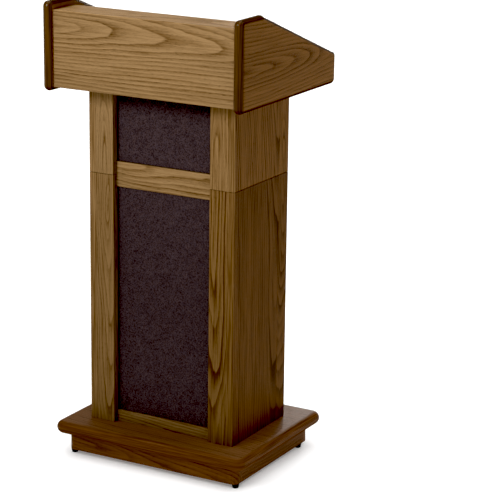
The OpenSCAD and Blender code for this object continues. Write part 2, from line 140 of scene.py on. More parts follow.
# A sheet of paper on a light table, so that shadows on it stay faint
floor_size = 30.0
floor_mesh = bpy.data.meshes.new("studio_floor")
floor_corners = [(-floor_size, -floor_size, 0), (floor_size, -floor_size, 0),
                 (floor_size, floor_size, 0), (-floor_size, floor_size, 0)]
floor_mesh.from_pydata(floor_corners, [], [(0, 1, 2, 3)])
floor = bpy.data.objects.new("studio_floor", floor_mesh)
bpy.context.scene.collection.objects.link(floor)
floor_look, tree, place = new_look("studio_paper")
paper = speckle(tree, place, (3, 3, 3))[0]
paper_tint = mixed(tree, ranged(tree, paper, 0.3, 0.7), (0.90, 0.90, 0.90, 1), (0.94, 0.94, 0.94, 1))
finish_look(tree, paper, 0.0002, {"Base Color": paper_tint, "Roughness": 0.9, "Emission Color": paper_tint,
                                  "Emission Strength": 0.22})
floor_mesh.materials.append(floor_look)

world = bpy.data.worlds.new("studio")
bpy.context.scene.world = world
world.use_nodes = True
sky = world.node_tree
rise = add_node(sky, "ShaderNodeSeparateXYZ", {0: add_node(sky, "ShaderNodeTexCoord", {})["Generated"]})["Z"]
soft_box = ranged(sky, rise, 0.60, 0.86, 0.0, 2.2)
walls = ranged(sky, rise, 0.10, 0.24, 0.9, 0.12)
sky.links.new(calc(sky, "ADD", walls, soft_box), sky.nodes["Background"].inputs["Strength"])
sky.nodes["Background"].inputs["Color"].default_value = (1.0, 1.0, 1.0, 1.0)

# A key light high in front and a weak one behind, which opens the shadows on the reader's side
for name, spot, aim, size, power in (
    ("key", (-0.75, -2.2, 2.0), (0.0, -0.15, 1.15), 0.7, 6.2),
    ("back_fill", (-0.9, 3.0, 0.95), (0.0, 0.2, 0.95), 1.0, 6.0),
):
    lamp = bpy.data.lights.new(name, "AREA")
    lamp.size = size
    lamp.energy = power
    lamp.spread = math.radians(52)
    light = bpy.data.objects.new(name, lamp)
    bpy.context.scene.collection.objects.link(light)
    light.location = spot
    light.rotation_euler = (Vector(aim) - Vector(spot)).to_track_quat("-Z", "Y").to_euler()

# ---- Rubber feet ----
# Four small rubber bumpers under the plinth's corners, moulded with a recess that hides the head of the
# pan-head screw which holds each one. Turned shapes are lathed in Geometry Nodes and set on their places.


def turned(name, body, look, places, sizes, rows, nodes, segments=32, recess=None):
    """Lathes rows of (radius, height), each (size name, factor), and sets the shape on places, which are
    pairs of a point and the direction of its axis. The result is one plain mesh that rides on body."""
    tree = bpy.data.node_groups.new(name, "GeometryNodeTree")
    tree.interface.new_socket("Places", in_out="INPUT", socket_type="NodeSocketGeometry")
    keys = {}
    for size in sizes:
        socket = tree.interface.new_socket(size, in_out="INPUT", socket_type="NodeSocketFloat")
        keys[size] = socket.identifier
    tree.interface.new_socket("Mesh", in_out="OUTPUT", socket_type="NodeSocketGeometry")
    given = add_node(tree, "NodeGroupInput", {})

    def measure(pair):
        return calc(tree, "MULTIPLY", given[pair[0]], pair[1])

    def value(pair):
        return sizes[pair[0]] * pair[1]

    joined = tree.nodes.new("GeometryNodeJoinGeometry")
    for low, high in zip(rows, rows[1:]):
        down = value(high[1]) < value(low[1]) - 1e-9
        first, last = (high, low) if down else (low, high)
        inputs = {
            "Vertices": segments, "Radius Bottom": measure(first[0]), "Radius Top": measure(last[0]),
            "Depth": calc(tree, "SUBTRACT", measure(last[1]), measure(first[1])),
        }
        ring = add_node(tree, "GeometryNodeMeshCone", inputs, fill_type="NONE")["Mesh"]
        lift = add_node(tree, "ShaderNodeCombineXYZ", {"Z": measure(first[1])})[0]
        ring = add_node(tree, "GeometryNodeTransform", {"Geometry": ring, "Translation": lift})[0]
        if down:
            ring = add_node(tree, "GeometryNodeFlipFaces", {"Mesh": ring})[0]
        tree.links.new(ring, joined.inputs[0])
    shape = add_node(tree, "GeometryNodeMergeByDistance", {
        "Geometry": joined.outputs[0], "Distance": 2e-6})[0]
    if recess:
        for turn in (0.0, math.pi / 2):
            size = add_node(tree, "ShaderNodeCombineXYZ", {
                "X": given[recess[0]], "Y": given[recess[1]], "Z": given[recess[2]]})[0]
            slot_box = add_node(tree, "GeometryNodeMeshCube", {"Size": size})[0]
            slot_box = add_node(tree, "GeometryNodeTransform", {
                "Geometry": slot_box, "Rotation": (0.0, 0.0, turn)})[0]
            shape = add_node(tree, "GeometryNodeMeshBoolean", {"Mesh 1": shape, "Mesh 2": slot_box},
                             operation="DIFFERENCE", solver="EXACT")[0]
    axis = add_node(tree, "GeometryNodeInputNamedAttribute", {"Name": "axis"}, data_type="FLOAT_VECTOR")[0]
    facing = add_node(tree, "FunctionNodeAlignRotationToVector", {"Vector": axis}, axis="Z")[0]
    copies = add_node(tree, "GeometryNodeInstanceOnPoints", {
        "Points": given["Places"], "Instance": shape, "Rotation": facing})[0]
    copies = add_node(tree, "GeometryNodeRealizeInstances", {"Geometry": copies})[0]
    copies = add_node(tree, "GeometryNodeSetMaterial", {"Geometry": copies, "Material": look})[0]
    add_node(tree, "NodeGroupOutput", {"Mesh": copies})

    points = bpy.data.meshes.new(name + "_places")
    points.from_pydata([spot for spot, way in places], [], [])
    points.attributes.new("axis", "FLOAT_VECTOR", "POINT")
    for item, (spot, way) in zip(points.attributes["axis"].data, places):
        item.vector = way
    piece = bpy.data.objects.new(name, points)
    bpy.context.scene.collection.objects.link(piece)
    maker = piece.modifiers.new("turned", "NODES")
    maker.node_group = tree
    for size in sizes:
        maker[keys[size]] = sizes[size]
    made = piece.evaluated_get(bpy.context.evaluated_depsgraph_get())
    mesh = bpy.data.meshes.new_from_object(made)
    piece.modifiers.clear()
    piece.data = mesh
    bpy.data.meshes.remove(points)
    mesh.shade_smooth()
    mesh.set_sharp_from_angle(angle=math.radians(32))
    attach(piece, body)
    if nodes:
        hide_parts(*nodes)
    return piece


rubber, tree, place = new_look("black_rubber")
grain = speckle(tree, place, (2600, 2600, 2600), 3.0)[0]
dust = speckle(tree, place, (90, 90, 90), 4.0, 0.7)[0]
rubber_tint = mixed(tree, ranged(tree, dust, 0.45, 0.8), (0.012, 0.012, 0.013, 1), (0.035, 0.033, 0.03, 1))
finish_look(tree, grain, 0.00012, {
    "Base Color": rubber_tint, "Roughness": ranged(tree, dust, 0.3, 0.8, 0.62, 0.85),
    "Specular IOR Level": 0.25})

foot_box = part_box("foot_bumpers")
foot_r = 0.0095
foot_places = [Vector((x, y, 0.0)) for x in (foot_box[0][0] + foot_r, foot_box[1][0] - foot_r)
               for y in (foot_box[0][1] + foot_r, foot_box[1][1] - foot_r)]
foot_sizes = {"Radius": foot_r, "Height": foot_box[1][2], "Recess radius": 0.005, "Bore radius": 0.002}
foot_rows = [
    (("Bore radius", 1), ("Height", 0.25)), (("Recess radius", 1), ("Height", 0.25)),
    (("Recess radius", 1), ("Height", 0.05)), (("Recess radius", 1.08), ("Height", 0)),
    (("Radius", 0.76), ("Height", 0)), (("Radius", 0.82), ("Height", 0.03)),
    (("Radius", 0.86), ("Height", 0.1)), (("Radius", 0.95), ("Height", 0.5)),
    (("Radius", 1), ("Height", 0.72)), (("Radius", 1), ("Height", 0.93)),
    (("Radius", 0.93), ("Height", 1)), (("Bore radius", 1), ("Height", 1)),
    (("Bore radius", 1), ("Height", 0.25)),
]
turned("rubber_feet", "base", rubber, [(p, (0, 0, 1)) for p in foot_places], foot_sizes,
       foot_rows, ["foot_bumpers"], segments=48)

# Pan-head screws hold the feet. The same turned screw, in other sizes, holds the slab, the cleats, the
# head, the loudspeakers and the input plate; its shank ends in a point and its head has a cross recess.
zinc, tree, place = new_look("zinc_plate")
cloud = speckle(tree, place, (420, 420, 420), 4.0, 0.65)[0]
scuff = speckle(tree, place, (2400, 600, 600), 2.0)[0]
zinc_tint = mixed(tree, ranged(tree, cloud, 0.3, 0.75), (0.46, 0.46, 0.44, 1), (0.62, 0.61, 0.56, 1))
finish_look(tree, scuff, 0.00004, {
    "Base Color": zinc_tint, "Metallic": 1.0, "Roughness": ranged(tree, scuff, 0.25, 0.75, 0.28, 0.5)})


def screws(name, body, nodes, places, head_r, head_h, shank_r, length, look):
    """Screws with a domed head and a cross recess, one on each place, driven along its axis"""
    sizes = {"Head radius": head_r, "Head height": head_h, "Shank radius": shank_r, "Length": length,
             "Recess length": head_r * 1.1, "Recess width": head_r * 0.22, "Recess depth": head_h * 1.1}
    rows = [(("Head radius", 0), ("Head height", 0)), (("Head radius", 0.55), ("Head height", 0.02)),
            (("Head radius", 0.8), ("Head height", 0.14)), (("Head radius", 0.95), ("Head height", 0.42)),
            (("Head radius", 1), ("Head height", 0.8)), (("Head radius", 1), ("Head height", 1)),
            (("Shank radius", 1), ("Head height", 1)), (("Shank radius", 1), ("Length", 0.8)),
            (("Shank radius", 0.15), ("Length", 1)), (("Shank radius", 0), ("Length", 1))]
    recess = ("Recess length", "Recess width", "Recess depth")
    return turned(name, body, look, places, sizes, rows, nodes, 24, recess)


foot_screw_places = [(p + Vector((0, 0, 0.001)), (0, 0, 1)) for p in foot_places]
screws("foot_screws_turned", "base", ["foot_screws"], foot_screw_places, 0.004, 0.002, 0.002, 0.030, zinc)

# ---- Plinth ----
# Four solid boards under the slab, the long ones front and back over the ends of the short ones, with a
# glue block and a screw in each corner. Oak, stained darker than the column, with rounded corners.
# The oak's figure is made of growth rings about a bending pith, which each board cuts where it lies.
oak = bpy.data.node_groups.new("oak_figure", "ShaderNodeTree")
oak.interface.new_socket("Vector", in_out="INPUT", socket_type="NodeSocketVector")
for label in ("Ring", "Lean Y", "Lean Z", "Seed"):
    oak.interface.new_socket(label, in_out="INPUT", socket_type="NodeSocketFloat")
for label in ("Figure", "Pores", "Tone"):
    oak.interface.new_socket(label, in_out="OUTPUT", socket_type="NodeSocketFloat")
given = add_node(oak, "NodeGroupInput", {})
shift = add_node(oak, "ShaderNodeCombineXYZ", {0: given["Seed"], 1: calc(oak, "MULTIPLY", given["Seed"], 1.7),
                                               2: calc(oak, "MULTIPLY", given["Seed"], 0.6)})[0]
moved = add_node(oak, "ShaderNodeVectorMath", {0: given["Vector"], 1: shift}, operation="ADD")[0]
axes = add_node(oak, "ShaderNodeSeparateXYZ", {0: given["Vector"]})
bend = add_node(oak, "ShaderNodeSeparateXYZ", {0: speckle(oak, moved, (1.9, 5.0, 5.0), 1.0)[1]})
wave = speckle(oak, moved, (8.0, 34.0, 34.0), 2.0)[0]


def radial(part, lean, share):
    """Distance from the pith along one axis, with the trunk's lean and its slow bends"""
    leant = calc(oak, "MULTIPLY_ADD", axes["X"], given[lean], axes[part])
    return calc(oak, "MULTIPLY_ADD", calc(oak, "SUBTRACT", share, 0.5), 0.05, leant)


off_y = radial("Y", "Lean Y", bend["X"])
off_z = radial("Z", "Lean Z", bend["Y"])
squares = calc(oak, "ADD", calc(oak, "MULTIPLY", off_y, off_y), calc(oak, "MULTIPLY", off_z, off_z))
reach = calc(oak, "SQRT", squares)
reach = calc(oak, "MULTIPLY_ADD", calc(oak, "SUBTRACT", wave, 0.5), 0.007, reach)
phase = calc(oak, "DIVIDE", reach, given["Ring"])
year = calc(oak, "FLOOR", phase)
late = calc(oak, "FRACT", phase)
luck = add_node(oak, "ShaderNodeTexWhiteNoise", {"W": calc(oak, "ADD", year, given["Seed"])},
                noise_dimensions="1D")["Value"]
early = calc(oak, "POWER", calc(oak, "SUBTRACT", 1.0, late), 1.7)
rise = ranged(oak, late, 0.0, 0.12)
early = calc(oak, "MULTIPLY", early, rise)
early = calc(oak, "MULTIPLY", early, calc(oak, "MULTIPLY_ADD", luck, 0.75, 0.35))
streak = speckle(oak, moved, (9.0, 260.0, 260.0), 2.0, 0.6)[0]
fine = speckle(oak, moved, (75.0, 1500.0, 1500.0), 1.0)[0]
pores = calc(oak, "MULTIPLY", ranged(oak, fine, 0.54, 0.68), calc(oak, "MULTIPLY_ADD", early, 0.8, 0.25))
banding = calc(oak, "MULTIPLY", early, 1.15)
figure = calc(oak, "MULTIPLY_ADD", calc(oak, "SUBTRACT", streak, 0.5), 1.5, banding)
tone = calc(oak, "SUBTRACT", speckle(oak, moved, (1.4, 7.0, 7.0), 2.0)[0], 0.5)
add_node(oak, "NodeGroupOutput", {"Figure": calc(oak, "ADD", figure, 0.08), "Pores": pores, "Tone": tone})

turns = {"X": Euler((0, 0, 0)), "Y": Euler((0, 0, -math.pi / 2)), "Z": Euler((0, math.pi / 2, 0))}
stains = {
    "walnut_panel": ((0.188, 0.118, 0.058), (0.082, 0.044, 0.017)),
    "walnut_edge": ((0.064, 0.0300, 0.0078), (0.021, 0.0094, 0.0022)),
    "walnut_base": ((0.136, 0.066, 0.031), (0.058, 0.027, 0.0125)),
}


def stained(slot, depth):
    """Pale and dark colours of a stain, each deepened as a second coat would"""
    return [tuple(part ** depth for part in colour) + (1.0,) for colour in stains[slot]]


def wood(name, slot, grain, pith, lean=(0.0, 0.0), ring=0.0085, seed=0.0, painted_light=1.0, depth=1.0,
         contrast=1.0, edge=None):
    """Stained, lacquered oak. grain is the axis that it runs along, pith a point on the trunk's middle and
    lean how far the trunk leans from the board. The brightness factor that follows seed is painted light and
    shade: it brightens or darkens each piece's stain for how light falls on it. depth soaks the stain in and
    contrast strengthens the figure. edge is (axes, middle, half, colours, coat) of an edge that has its own
    stain: the axes are those across its fibres, first the one through the board."""
    look, tree, place = new_look(name)
    turn = turns[grain]
    centre = turn.to_matrix() @ Vector(pith)
    spot = add_node(tree, "ShaderNodeMapping", {"Vector": place, "Location": -centre, "Rotation": turn})[0]
    group = tree.nodes.new("ShaderNodeGroup")
    group.node_tree = oak
    tree.links.new(spot, group.inputs["Vector"])
    for label, number in (("Ring", ring), ("Lean Y", lean[0]), ("Lean Z", lean[1]), ("Seed", seed)):
        group.inputs[label].default_value = number
    figure, pores, tone = (group.outputs[k] for k in ("Figure", "Pores", "Tone"))
    tint = mixed(tree, calc(tree, "MULTIPLY", figure, contrast), *stained(slot, depth))
    facing = add_node(tree, "ShaderNodeNewGeometry", {})["Normal"]
    # Painted shade: the lacquer's reflection and coat are taken off faces that look down, so the bright floor
    # does not shine in them
    reflection_unless_facing_down = ranged(tree, add_node(tree, "ShaderNodeSeparateXYZ", {0: facing})["Z"], -0.4, -0.05)
    polish = calc(tree, "MULTIPLY", reflection_unless_facing_down, 0.015)
    tint = mixed(tree, pores, tint, mixed(tree, 0.72, tint, (0.01, 0.004, 0.001, 1)))
    # Painted light: the wood's random tone times the piece's painted brightness factor
    level = calc(tree, "MULTIPLY", calc(tree, "MULTIPLY_ADD", tone, 0.5, 1.0), painted_light)
    tint = add_node(tree, "ShaderNodeVectorMath", {0: tint, "Scale": level}, operation="SCALE")[0]
    if edge:
        axes, middle, half, colours, coat = edge
        part = add_node(tree, "ShaderNodeSeparateXYZ", {0: place})[axes[0]]
        away = calc(tree, "ABSOLUTE", calc(tree, "SUBTRACT", part, middle))
        inside = ranged(tree, away, half * 0.99, half * 0.9)
        along = [420.0 if label in axes else 7.0 for label in "XYZ"]
        fibre = ranged(tree, speckle(tree, place, along, 3.0, 0.6)[0], 0.3, 0.7)
        tint = mixed(tree, inside, tint, mixed(tree, fibre, *colours))
        inside = calc(tree, "MULTIPLY", inside, reflection_unless_facing_down)
        polish = calc(tree, "MULTIPLY_ADD", inside, coat, polish)
    height = calc(tree, "MULTIPLY_ADD", pores, -1.0, calc(tree, "MULTIPLY", figure, -0.25))
    finish_look(tree, height, 0.00018, {
        "Base Color": tint, "Roughness": calc(tree, "MULTIPLY_ADD", pores, 0.25, 0.42),
        "Specular IOR Level": calc(tree, "MULTIPLY", reflection_unless_facing_down, 0.03), "Specular Tint": (1.0, 0.72, 0.42, 1),
        "Coat Weight": polish, "Coat Roughness": 0.22})
    return look


def loose(name, mesh, look, body, nodes=()):
    """Makes the piece's object, sets it on its body with its finish and hides the nodes that it takes the
    place of
    """
    mesh.materials.clear()
    mesh.materials.append(look)
    piece = bpy.data.objects.new(name, mesh)
    bpy.context.scene.collection.objects.link(piece)
    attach(piece, body)
    if nodes:
        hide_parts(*nodes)
    return piece


def board(node, look, ease=0.0006, seam=None, seam_ease=0.0011):
    """A board with the frame's shape and eased edges. The edges at height seam are eased by seam_ease."""
    source = frame["nodes"][node]
    form = bmesh.new()
    form.from_mesh(source.data)
    bmesh.ops.remove_doubles(form, verts=form.verts, dist=1e-6)
    bmesh.ops.dissolve_limit(form, angle_limit=0.01, verts=form.verts, edges=form.edges)

    def sharp(edge):
        return len(edge.link_faces) == 2 and edge.calc_face_angle() > 0.4

    def at_seam(edge):
        return seam is not None and all(abs(v.co.z - seam) < 1e-4 for v in edge.verts)

    for size, chosen in ((seam_ease, [e for e in form.edges if sharp(e) and at_seam(e)]), (ease, None)):
        if chosen is None:
            chosen = [e for e in form.edges if sharp(e) and e.calc_length() > 0.002]
        if chosen:
            bmesh.ops.bevel(form, geom=chosen, offset=size, segments=2, profile=0.5, affect="EDGES",
                            clamp_overlap=True)
    mesh = bpy.data.meshes.new(node + "_board")
    form.to_mesh(mesh)
    form.free()
    return loose(node + "_board", mesh, look, source["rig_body"], [node])


def extruded(node, outline, axis, look, ease=0.0):
    """A board with the given section, drawn out along axis as far as the frame's node reaches. The outline
    runs counter-clockwise in (Y, Z) for axis X and in (X, Y) for axis Z."""
    low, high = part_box(node)
    form = bmesh.new()
    order = (lambda u, v, w: (w, u, v)) if axis == "X" else (lambda u, v, w: (u, v, w))
    index = "XYZ".index(axis)
    ends = [[form.verts.new(order(u, v, w)) for u, v in outline] for w in (low[index], high[index])]
    count = len(outline)
    for i in range(count):
        j = (i + 1) % count
        form.faces.new((ends[0][i], ends[0][j], ends[1][j], ends[1][i]))
    caps = [form.faces.new(ends[1]), form.faces.new(list(reversed(ends[0])))]
    if ease:
        rims = list({e for cap in caps for e in cap.edges})
        bmesh.ops.bevel(form, geom=rims, offset=ease, segments=2, profile=0.5, affect="EDGES")
    mesh = bpy.data.meshes.new(node + "_board")
    form.to_mesh(mesh)
    form.free()
    return loose(node + "_board", mesh, look, frame["nodes"][node]["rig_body"], [node])


def round_corner(u, v, radius, start, end, steps=6):
    """Points of a corner rounded about the middle (u, v), from one angle to the other in degrees"""
    angles = [math.radians(start + (end - start) * i / steps) for i in range(steps + 1)]
    return [(u + radius * math.cos(a), v + radius * math.sin(a)) for a in angles]


plinth_low, plinth_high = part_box("plinth_front")
plinth_r = 0.020
plinth_x, plinth_y, inner_y = plinth_high[0], -plinth_low[1], -plinth_high[1]
long_outline = round_corner(plinth_r - plinth_x, plinth_r - plinth_y, plinth_r, 180, 270, 24)
long_outline += round_corner(plinth_x - plinth_r, plinth_r - plinth_y, plinth_r, 270, 360, 24)
long_outline += [(plinth_x, -inner_y), (-plinth_x, -inner_y)]
back_outline = [(-x, -y) for x, y in long_outline]
for node, outline, grain, pith, lean, seed in (
    ("plinth_front", long_outline, "X", (0.05, -0.215, 0.015), (0.05, 0.07), 3.1),
    ("plinth_back", back_outline, "X", (-0.1, 0.22, 0.05), (0.05, 0.06), 4.7),
    ("plinth_left", None, "Y", (-0.27, 0.0, 0.04), (0.06, 0.05), 5.3),
    ("plinth_right", None, "Y", (0.27, 0.05, -0.03), (0.04, 0.04), 6.9),
):
    plinth_look = wood(node + "_oak", "walnut_base", grain, pith, lean, 0.008, seed, 1.0, 1.0, 0.8)
    if outline:
        extruded(node, outline, "Z", plinth_look, 0.0012)
    else:
        board(node, plinth_look, 0.0003)


def dress(look, *names):
    """Gives CAD nodes whose shape is right their finished material"""
    for name in names:
        for place in frame["nodes"][name].material_slots:
            place.material = look


def plywood(name, axis, ply=0.0015, painted_light=1.0):
    """Birch plywood: pale faces with fine grain, and plies that alternate along axis on the edges"""
    look, tree, place = new_look(name)
    part = add_node(tree, "ShaderNodeSeparateXYZ", {0: place})[axis]
    layer = calc(tree, "PINGPONG", part, ply)
    band = ranged(tree, layer, ply * 0.35, ply * 0.6)
    grain = speckle(tree, place, (14, 120, 14) if axis == "Z" else (120, 120, 9), 4.0, 0.65)[0]
    figure = speckle(tree, place, (5, 16, 5) if axis == "Z" else (16, 16, 3), 2.0)[0]
    tint = mixed(tree, ranged(tree, grain, 0.35, 0.7), (0.50, 0.34, 0.18, 1), (0.36, 0.22, 0.105, 1))
    tint = mixed(tree, calc(tree, "MULTIPLY", band, 0.45), tint, (0.22, 0.125, 0.055, 1))
    level = calc(tree, "MULTIPLY", ranged(tree, figure, 0.2, 0.8, 0.85, 1.1), painted_light)
    tint = add_node(tree, "ShaderNodeVectorMath", {0: tint, "Scale": level}, operation="SCALE")[0]
    height = calc(tree, "SUBTRACT", grain, calc(tree, "MULTIPLY", band, 0.4))
    finish_look(tree, height, 0.00025, {"Base Color": tint, "Roughness": 0.72, "Specular IOR Level": 0.2})
    return look


ply_flat = plywood("plywood_flat", "Z")
ply_upright = plywood("plywood_upright", "Y")
dress(ply_flat, "plinth_blocks")

# ---- Slab ----
# The thick board that carries the column, dark stained, with rounded corners and edges shaped half round
# with a router. Screws come up into it through the glue blocks.


def bullnose(name, corners, radius, half, frame_matrix, look, body, nodes):
    """A plate whose outline is corner arcs of one radius and whose edge is half round all the way"""
    steps, turns_per_corner = 20, 10
    form = bmesh.new()
    rings = []
    for k in range(steps + 1):
        lift = math.pi * (k / steps - 0.5)
        inset = half * (1 - math.cos(lift))
        ring = []
        for x, y, start, end in corners:
            for j in range(turns_per_corner + 1):
                angle = math.radians(start + (end - start) * j / turns_per_corner)
                spot = Vector((x + (radius - inset) * math.cos(angle),
                               y + (radius - inset) * math.sin(angle), half * math.sin(lift)))
                ring.append(form.verts.new(frame_matrix @ spot))
        rings.append(ring)
    count = len(rings[0])
    for low, high in zip(rings, rings[1:]):
        for i in range(count):
            j = (i + 1) % count
            form.faces.new((low[i], low[j], high[j], high[i])).smooth = True
    form.faces.new(rings[-1])
    form.faces.new(list(reversed(rings[0])))
    mesh = bpy.data.meshes.new(name)
    form.to_mesh(mesh)
    form.free()
    return loose(name, mesh, look, body, nodes)


slab_low, slab_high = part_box("base_slab")
slab_r = 0.024
slab_half = (slab_high[2] - slab_low[2]) / 2
slab_x, slab_y = slab_high[0] - slab_r, slab_high[1] - slab_r
slab_corners = [(slab_x, -slab_y, -90, 0), (slab_x, slab_y, 0, 90), (-slab_x, slab_y, 90, 180),
                (-slab_x, -slab_y, 180, 270)]
slab_middle = slab_low[2] + slab_half
# The slab is painted at 0.78 of its stain's brightness, darker than the plinth
slab_look = wood("slab_oak", "walnut_base", "X", (0.0, -0.33, slab_middle - 0.10), (0.05, 0.04), 0.0085, 1.9,
                 0.78, 0.87, 0.7, ("Z", slab_middle, slab_half, stained("walnut_base", 1.03), 0.0))
bullnose("slab_board", slab_corners, slab_r, slab_half, Matrix.Translation((0, 0, slab_middle)), slab_look,
         "base", ["base_slab"])
block_low, block_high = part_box("plinth_blocks")
slab_screw_places = [((sx * (block_high[0] - 0.025), sy * (block_high[1] - 0.025), block_low[2] - 0.0025),
                      (0, 0, 1)) for sx in (-1, 1) for sy in (-1, 1)]
screws("slab_screws_turned", "base", ["slab_screws"], slab_screw_places, 0.005, 0.0025, 0.0025, 0.057, zinc)

# ---- Column ----
# The lower unit and the head unit's neck, which stands on it and has the same width. Each side is an oak
# board with a solid strip glued to its back edge and a thick stile beside its front edge, all with the
# grain upright. Cleats on the slab hold the lower unit's sides down.
dress(ply_flat, "floor_cleats")
cleat_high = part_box("floor_cleats")[1]
cleat_places = [((sx * (cleat_high[0] - 0.011), y, cleat_high[2] + 0.002), (0, 0, -1))
                for sx in (-1, 1) for y in (-0.06, 0.06)]
screws("cleat_screws_turned", "base", ["cleat_screws"], cleat_places, 0.004, 0.002, 0.002, 0.042, zinc)

seam_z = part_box("base_top")[1][2]
# Painted light: the side boards and their strips are painted 1.55 to 1.95 times brighter and the stiles 0.95
# to 1.04, the neck lighter than the lower unit, for how light falls on each face and height
for unit, side, s, seed, painted_light, depth, side_painted_light in (
    ("lower", "left", -1, 0.0, 0.95, 1.04, 1.6), ("lower", "right", 1, 2.3, 0.98, 1.16, 1.55),
    ("neck", "left", -1, 5.0, 0.96, 1.0, 1.95), ("neck", "right", 1, 7.3, 1.04, 1.07, 1.95),
):
    front_edge = ("YX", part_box("lower_side_left")[0][1], 0.0016, stained("walnut_panel", depth), 0.0)
    side_pith = (s * 0.165, 0.02 + 0.05 * s, 1.0 if unit == "neck" else 0.5)
    side_look = wood(f"{unit}_side_{side}_oak", "walnut_panel", "Z", side_pith,
                     (0.03, 0.07 * s), 0.0085, 11.0 + seed, side_painted_light, depth + 0.42, 1.0, front_edge)
    board(f"{unit}_side_{side}", side_look, seam=seam_z)
    strip_look = wood(f"{unit}_strip_{side}_oak", "walnut_panel", "Z", (s * 0.214, 0.105, 0.76),
                      (0.01, -0.12 * s), 0.007, 21.0 + seed, side_painted_light, depth + 0.42)
    board(f"{unit}_strip_{side}", strip_look, seam=seam_z)
    stile_look = wood(f"{unit}_stile_{side}_oak", "walnut_panel", "Z", (s * 0.165, -0.150, 0.76),
                      (0.075, 0.02 * s), 0.0075 + 0.0015 * s, 31.0 + seed, painted_light, depth, 1.05 + 0.25 * s)
    board(f"{unit}_stile_{side}", stile_look, seam=seam_z)

# The bottom rail is painted at 0.95 of its stain's brightness, darker than the mid rail
for node, z, seed, painted_light in (("mid_rail", 0.79, 41.0, 1.0), ("bottom_rail", 0.06, 43.0, 0.95)):
    rail_look = wood(node + "_oak", "walnut_panel", "X", (0.0, -0.17, z), (0.02, 0.03), 0.007, seed, painted_light)
    board(node, rail_look, 0.001)

dress(ply_upright, "lower_front_panel", "lower_grille_panel", "upper_grille_panel", "speaker_baffle",
      "speaker_box_back", "lower_grille_spacers", "upper_grille_spacers", "rail_dowels")
for node, pith, seed in (
    ("base_top", (0, 0.0, 0.60), 51.0), ("back_toe_rail", (0, 0.2, 0.1), 52.0),
    ("neck_floor", (0, 0.05, 0.63), 53.0), ("head_floor", (0, 0, 0.85), 54.0),
):
    # The floors are painted at 0.9 of their stain's brightness
    floor_oak = wood(node + "_oak", "walnut_panel", "X", pith, (0.02, 0.05), 0.008, seed, 0.9)
    board(node, floor_oak, 0.0005)
dress(zinc, "locating_dowels", "shelf_pins")

# ---- Grille cloths ----
# Open plain-weave cloth stretched over each plywood grille panel and turned round its edges, to be stapled
# behind; the staples are not drawn. It is cut to the panel plus the turn-in on every side.
cloth, tree, place = new_look("grille_cloth")
thread = 0.0022
part = add_node(tree, "ShaderNodeSeparateXYZ", {0: place})
across_x = calc(tree, "DIVIDE", part["X"], thread)
across_z = calc(tree, "DIVIDE", part["Z"], thread)
warp = calc(tree, "SINE", calc(tree, "MULTIPLY", across_x, math.pi))
weft = calc(tree, "SINE", calc(tree, "MULTIPLY", across_z, math.pi))
crossing = calc(tree, "MULTIPLY", warp, weft)
# Each crossing of two threads takes a tone of its own
knot = add_node(tree, "ShaderNodeCombineXYZ", {
    "X": calc(tree, "FLOOR", across_x), "Y": calc(tree, "FLOOR", across_z)})[0]
chance = add_node(tree, "ShaderNodeTexWhiteNoise", {"Vector": knot}, noise_dimensions="2D")
hue = add_node(tree, "ShaderNodeSeparateXYZ", {0: chance["Color"]})["Y"]
slub = speckle(tree, place, (900, 900, 160), 2.0)[0]
fleck = calc(tree, "MULTIPLY_ADD", slub, 0.24, calc(tree, "MULTIPLY_ADD", chance["Value"], 0.5, 0.04))
pale_yarn = mixed(tree, hue, (0.080, 0.055, 0.052, 1), (0.068, 0.054, 0.062, 1))
cloth_tint = mixed(tree, fleck, (0.014, 0.0100, 0.0100, 1), pale_yarn)
gap = ranged(tree, crossing, -0.4, -0.95, 0.0, 0.4)
cloth_tint = mixed(tree, gap, cloth_tint, (0.012, 0.009, 0.009, 1))
cloudy = speckle(tree, place, (60, 60, 60), 2.0)[0]
# Painted light: the cloth is painted up to a quarter brighter towards the bottom, lifting the shade low in
# its recess; the rest of this level is random cloudiness
level = calc(tree, "MULTIPLY", ranged(tree, cloudy, 0.2, 0.8, 0.86, 1.0),
             ranged(tree, part["Z"], 0.10, 0.50, 1.25, 1.0))
cloth_tint = add_node(tree, "ShaderNodeVectorMath", {0: cloth_tint, "Scale": level}, operation="SCALE")[0]
finish_look(tree, calc(tree, "ADD", calc(tree, "ABSOLUTE", crossing), fleck), 0.00012, {
    "Base Color": cloth_tint, "Roughness": 0.92, "Specular IOR Level": 0.08, "Sheen Weight": 0.05,
    "Sheen Roughness": 0.5, "Sheen Tint": (0.35, 0.22, 0.22, 1)})

cloth_thick = 0.0004
turn_in = 0.020


